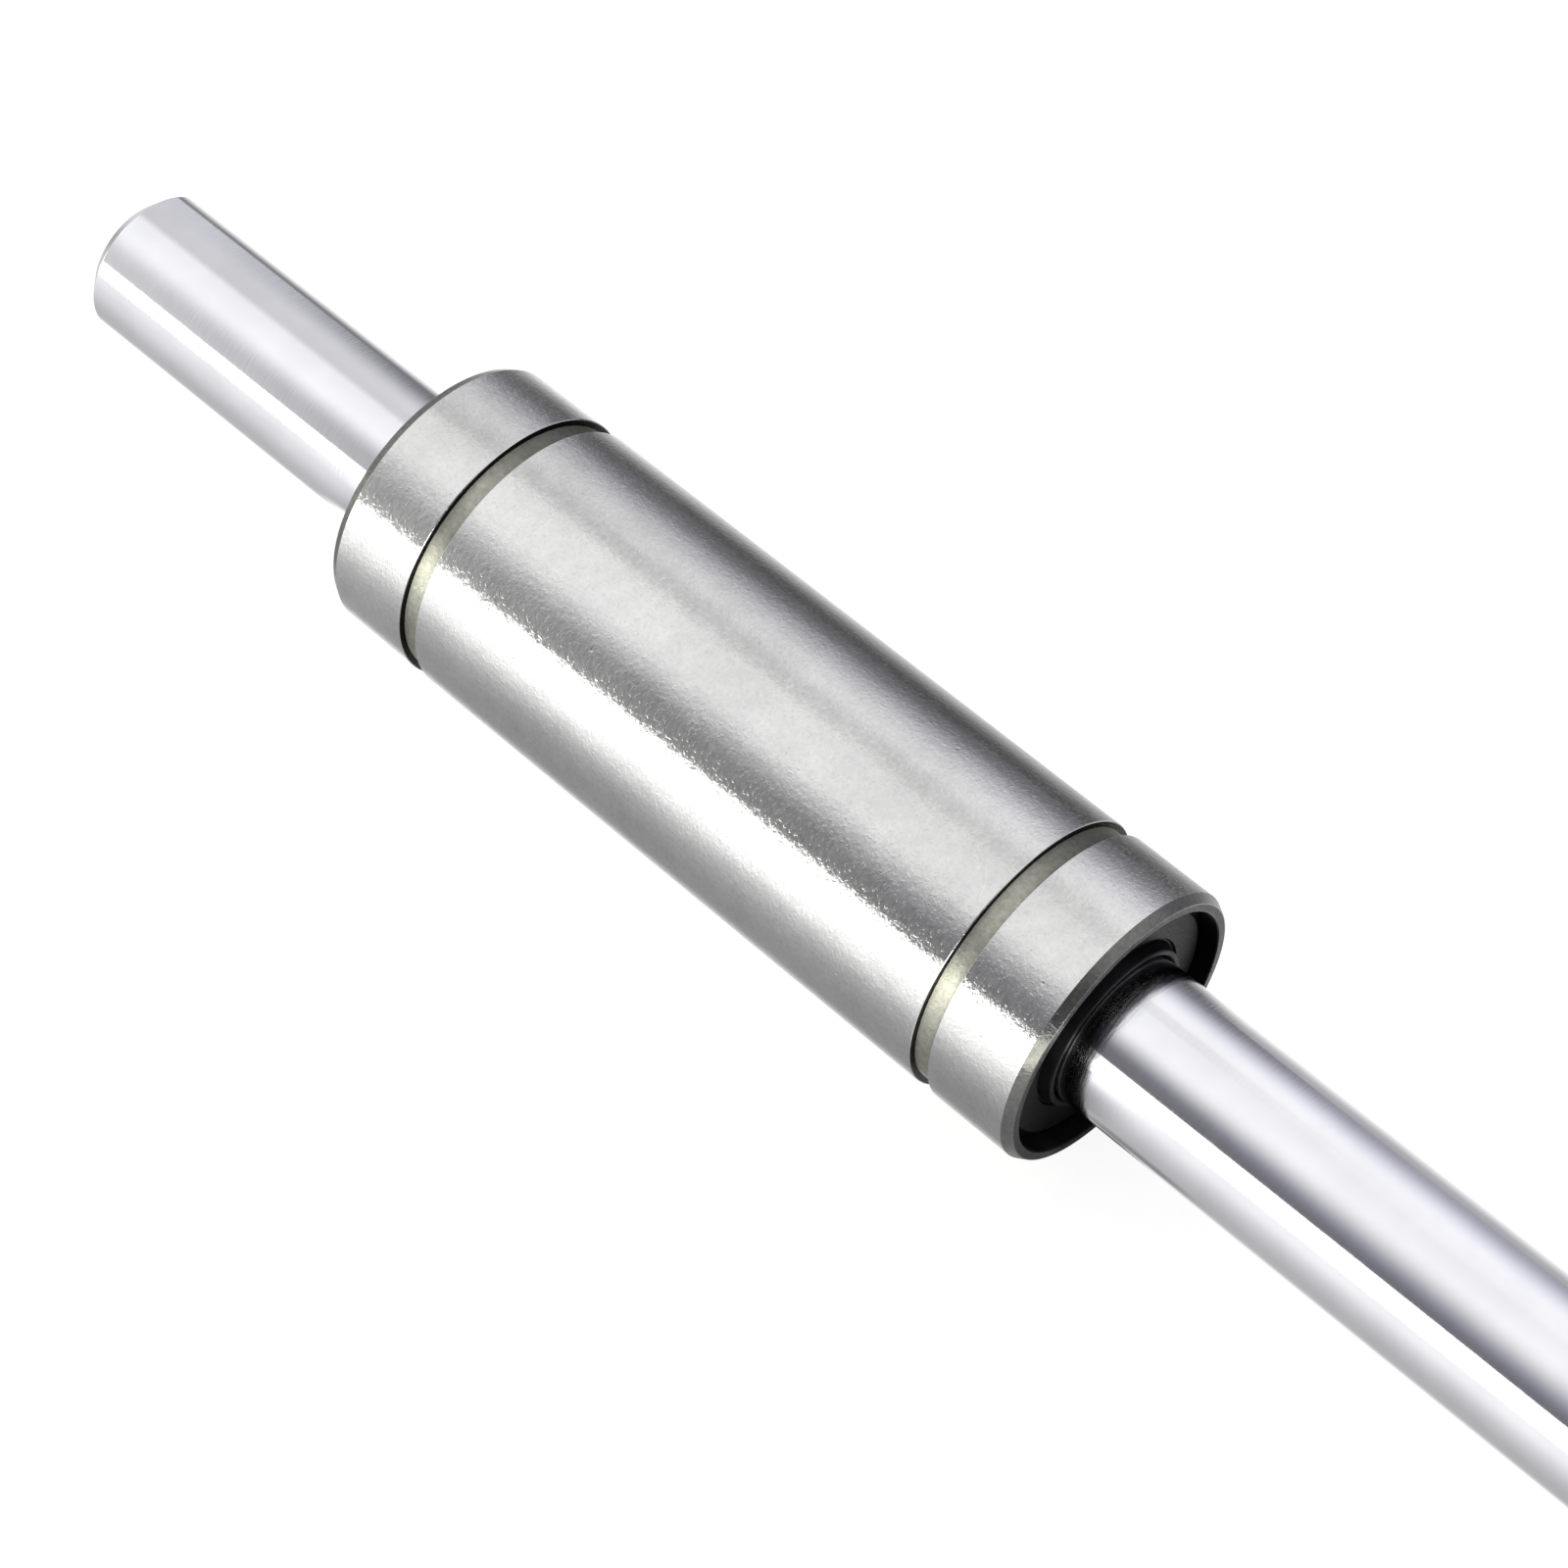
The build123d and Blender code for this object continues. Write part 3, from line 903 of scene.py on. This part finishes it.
def add_tent(size, ground):
    """Half a tube around the shaft, glowing inwards: (x, -r sin a, r cos a), a from -90 to 90."""
    angles = np.radians(np.linspace(-90.0, 90.0, 61))
    x = np.linspace(-2.0, 2.0, 9) * size.tent * 2
    points = np.stack(np.broadcast_arrays(
        x[:, None], -size.tent * np.sin(angles), size.tent * np.cos(angles) + ground
    ), -1)
    number = np.arange(points.size // 3).reshape(points.shape[:2])
    quads = np.stack([number[:-1, :-1], number[:-1, 1:], number[1:, 1:], number[1:, :-1]], -1)
    mesh = bpy.data.meshes.new("light_tent")
    mesh.from_pydata(points.reshape(-1, 3).tolist(), [], quads.reshape(-1, 4).tolist())
    mesh.shade_smooth()
    tree = Finish("tent_light")
    axes = tree.axes()
    angle = tree.math("ARCTAN2", tree.times(axes["Y"], -1.0), axes["Z"])
    turn = tree.times(angle, 180.0 / math.pi)
    level = tent_level(tree, size, axes["X"], turn)
    light = tent_tint(tree, axes["X"], turn)
    glow = tree.node("ShaderNodeEmission", {"Color": light, "Strength": level})
    tree.output(glow.outputs[0])
    mesh.materials.append(tree.owner)
    tent = add_object(mesh)
    tent.visible_camera = False
    tent.visible_shadow = False


def mirror_start(tree, along, across, depth):
    """Where along the part a mirrored ray starts that ends at this place on the floor.

    With d the floor's depth and s how far the place lies past the part's side, the ray's run is
    t = sqrt(d^2 + s^2) and its start is (along + back * t) / (1 + spread * t): it goes back by a
    share of its run, and spreads with the camera's perspective.
    """
    side, back, spread = 6, 0.437, 0.0053
    past = tree.math("MAXIMUM", tree.less(tree.math("ABSOLUTE", across), side), 0.0)
    run = tree.math("SQRT", tree.sum(tree.times(past, past), depth ** 2))
    place = tree.sum(along, tree.times(run, back))
    return tree.math("DIVIDE", place, tree.sum(1.0, tree.times(run, spread)))


def brightening(tree, away, start, reach, power, low, high):
    """A level from low to high by 1 - e^(-(d / reach)^power), d being how far past the start."""
    distance = tree.math("MAXIMUM", tree.less(away, start), 0.0)
    drop = tree.math("POWER", tree.math("DIVIDE", distance, reach), power)
    rise = tree.less(1.0, tree.math("EXPONENT", tree.times(drop, -1.0)))
    return tree.remap(rise, 0.0, 1.0, low, high, smooth=False)


def near_floor(tree, start, across, beside, rearward, at_rear):
    """The floor on the camera's side: it brightens away from the shaft, later beside the sleeve
    than beside the bare shaft, and it is bright again under the part, more so to the rear. The dim
    floor next to the part is the part's shadow, painted into this glow."""
    away = tree.times(across, -1.0)
    sleeve = brightening(tree, away, 9, 28.7, 1.8, 0.38, 1.55)
    under = tree.remap(across, -8.1, -4.5, 0.0, 0.72)
    front_end = tree.remap(start, 8, 20, 0.0, -0.05)
    ends = tree.sum(tree.remap(start, -8, -22, 1.0, 1.2), front_end)
    sleeve = tree.times(tree.sum(sleeve, tree.times(under, rearward)), ends)
    shaft = brightening(tree, away, 7, 15, 1.3, 0.54, 1.15)
    under = tree.remap(across, -4.9, -2, 0.0, 0.5)
    behind = tree.remap(start, 22, -22, 1.0, 1.07)
    shaft = tree.sum(tree.times(shaft, behind), tree.times(under, rearward))
    outer = tree.times(tree.remap(away, 12, 30, 0.0, -0.13), at_rear)
    return tree.times(tree.between(shaft, sleeve, beside), tree.sum(outer, 1.0))


def far_floor(tree, across, beside, rearward, at_rear):
    """The floor on the far side: it fades as a falling exponential, to a brighter level beside
    the bare shaft than beside the sleeve, and that level drops far out behind the rear end."""
    fade_start, fade_reach = 15, 14
    share_left = tree.math("DIVIDE", tree.less(fade_start, across), fade_reach)
    fading = tree.math("EXPONENT", tree.math("MINIMUM", share_left, 0.5))
    far = tree.times(tree.sum(tree.times(fading, 0.76), 0.10), rearward)
    bare = tree.less(1.0, beside)
    drop = tree.remap(across, 28, 75, 0.0, -0.32, smooth=False)
    return tree.sum(far, tree.times(bare, tree.sum(tree.times(drop, at_rear), 0.42)))


def flags_and_floor_shade(tree, along, across):
    """Where flags and painted shadows take the floor's mirrored light, from 0 to 1.

    A flag lies aslant before the front end. A weaker painted shadow of the sleeve lies beside it on
    the camera's side, and a long painted contact shadow lies right under the far side of the part.
    """
    rise = tree.math("MAXIMUM", tree.sum(across, 3), 0.0)
    middle = tree.window(across, (-3.5, -1.5), (4, 6))
    aslant = tree.less(tree.less(along, tree.times(rise, 0.5)), tree.times(middle, 4))
    past = tree.math("MAXIMUM", tree.less(along, 24), 0.0)
    before_end = tree.times(
        tree.remap(along, 18, 22),
        tree.remap(aslant, 23, 29, 1.0, 0.0),
        tree.remap(tree.less(across, past), -4, -2.8),
        tree.remap(across, 5.5, 8.5, 1.0, 0.0),
    )
    # Painted shade: the sleeve's shadow on the floor beside the front end.
    painted_sleeve_shadow = tree.times(
        tree.window(along, (20, 22), (26, 30)), tree.window(across, (-7, -5.2), (-4.2, -3)), 0.5
    )
    # Painted shade: the part's contact shadow under its far side.
    painted_contact_shadow = tree.window(across, (-0.5, 1.5), (5.5, 8.5))
    taken = tree.math("MAXIMUM", before_end, painted_sleeve_shadow)
    return tree.math("MAXIMUM", taken, tree.times(painted_contact_shadow, 0.7))


def floor_level(tree, size, along, across, depth):
    """Brightness of the floor in the metal, by the place along and across it in millimetres.

    The rear is brighter than the front. Near the part, and more beside the sleeve, the floor is
    darker: the part's shadow, painted into this glow. Which stretch counts as beside the sleeve, and
    how far to the rear a place counts, goes by where the mirrored ray starts on the part.
    """
    start = mirror_start(tree, along, across, depth)
    beside = tree.window(start, (-27.5, -24), (22.5, 26))
    at_rear = tree.remap(start, -8, -22)
    rearward = tree.remap(start, 22, -22, 0.84, 1.26, smooth=False)
    rearward = tree.sum(rearward, tree.times(at_rear, 0.26))
    near = near_floor(tree, start, across, beside, rearward, at_rear)
    far = far_floor(tree, across, beside, rearward, at_rear)
    level = tree.between(near, far, tree.remap(across, -2, 2))
    taken = tree.times(flags_and_floor_shade(tree, along, across), size.flag)
    return tree.times(level, tree.less(1.0, taken))


def add_floor(size, ground):
    """A square floor under the sleeve, white to the camera, keeping the soft shadow."""
    reach = 4.0
    corners = [(-reach, -reach), (reach, -reach), (reach, reach), (-reach, reach)]
    mesh = bpy.data.meshes.new("floor")
    mesh.from_pydata([(x, y, ground) for x, y in corners], [], [(0, 1, 2, 3)])
    tree = Finish("floor_paper")
    path = tree.node("ShaderNodeLightPath").outputs
    axes = tree.axes()
    white = (1.0, 1.0, 1.0, 1.0)
    paper = tree.node("ShaderNodeBsdfDiffuse", {"Color": opaque((0.8, 0.8, 0.8))})
    shade = tree.node("ShaderNodeBsdfDiffuse", {"Color": opaque((0.3, 0.3, 0.3))})
    glow = tree.node("ShaderNodeEmission", {"Color": white, "Strength": 0.82})
    seen = tree.node("ShaderNodeAddShader", {0: shade.outputs[0], 1: glow.outputs[0]})
    level = floor_level(tree, size, axes["X"], axes["Y"], -ground / MM)
    mirrored = tree.node("ShaderNodeEmission", {"Color": white, "Strength": level})
    inner = tree.either(path["Is Camera Ray"], paper, seen)
    outer = tree.either(path["Is Glossy Ray"], inner, mirrored)
    tree.output(outer.outputs[0])
    mesh.materials.append(tree.owner)
    add_object(mesh)


def add_background():
    """White for what the camera and the metal see directly, a little darker as light."""
    tree = Finish("white_room", "worlds")
    path = tree.node("ShaderNodeLightPath").outputs
    direct = tree.math("MAXIMUM", path["Is Camera Ray"], path["Is Glossy Ray"])
    direct = tree.math("MAXIMUM", direct, path["Is Transmission Ray"])
    light = tree.node("ShaderNodeBackground", {"Color": (0.8, 0.8, 0.8, 1.0)})
    white = tree.node("ShaderNodeBackground", {"Color": (1.0, 1.0, 1.0, 1.0)})
    tree.output(tree.either(direct, light, white).outputs[0])
    bpy.context.scene.world = tree.owner


def add_camera(size):
    """A camera at its place, level, looking down along its azimuth and elevation."""
    data = bpy.data.cameras.new("camera")
    data.lens = size.lens
    data.clip_start = 0.01
    data.clip_end = 20.0
    camera = add_object(data)
    back = Vector((
        math.sin(size.azimuth) * math.cos(size.elevation),
        -math.cos(size.azimuth) * math.cos(size.elevation),
        math.sin(size.elevation),
    ))
    right = Vector((math.cos(size.azimuth), math.sin(size.azimuth), 0.0))
    turned = Matrix((right, back.cross(right), back)).transposed().to_4x4()
    camera.matrix_world = Matrix.Translation(size.place) @ turned
    bpy.context.scene.camera = camera


class BEARING_OT_studio(bpy.types.Operator):
    """Pale floor, light tent, white background and camera"""

    bl_idname = "bearing.studio"
    bl_label = "Studio"

    def execute(self, context):
        size = context.scene.bearing_studio
        ground = -context.scene.bearing_sleeve.radius
        context.scene.view_settings.view_transform = "Standard"
        add_tent(size, ground)
        add_floor(size, ground)
        add_background()
        add_camera(size)
        return {"FINISHED"}


class BEARING_PT_panel(bpy.types.Panel):
    """Panel that lists the bearing's pieces and their sizes"""

    bl_idname = "BEARING_PT_panel"
    bl_label = "Linear Ball Bearing"
    bl_space_type = "VIEW_3D"
    bl_region_type = "UI"
    bl_category = "Bearing"

    def draw(self, context):
        for settings, operators in PANEL_ROWS:
            box = self.layout.box()
            for operator in operators:
                box.operator(operator.bl_idname)
            if settings:
                group = getattr(context.scene, settings)
                for name in group.__annotations__:
                    box.prop(group, name)


PANEL_ROWS = (
    ("bearing_shaft", (BEARING_OT_guide_shaft,)),
    ("bearing_sleeve", (BEARING_OT_outer_sleeve,)),
    ("bearing_seals", (BEARING_OT_end_seals,)),
    ("", (BEARING_OT_ball_retainers, BEARING_OT_ball_circuits, BEARING_OT_end_closures)),
    ("bearing_studio", (BEARING_OT_studio,)),
)
GROUPS = {
    "bearing_shaft": ShaftSettings,
    "bearing_sleeve": SleeveSettings,
    "bearing_seals": SealSettings,
    "bearing_studio": StudioSettings,
}
OPERATORS = tuple(operator for _, operators in PANEL_ROWS for operator in operators)


def register():
    for name, group in GROUPS.items():
        bpy.utils.register_class(group)
        setattr(bpy.types.Scene, name, bpy.props.PointerProperty(type=group))
    for operator in OPERATORS:
        bpy.utils.register_class(operator)
    bpy.utils.register_class(BEARING_PT_panel)


def unregister():
    bpy.utils.unregister_class(BEARING_PT_panel)
    for operator in reversed(OPERATORS):
        bpy.utils.unregister_class(operator)
    for name, group in GROUPS.items():
        delattr(bpy.types.Scene, name)
        bpy.utils.unregister_class(group)


def main():
    """Registers the add-on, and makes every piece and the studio."""
    register()
    for operator in OPERATORS:
        _, name = operator.bl_idname.split(".")
        getattr(bpy.ops.bearing, name)()


if __name__ == "__main__":
    main()
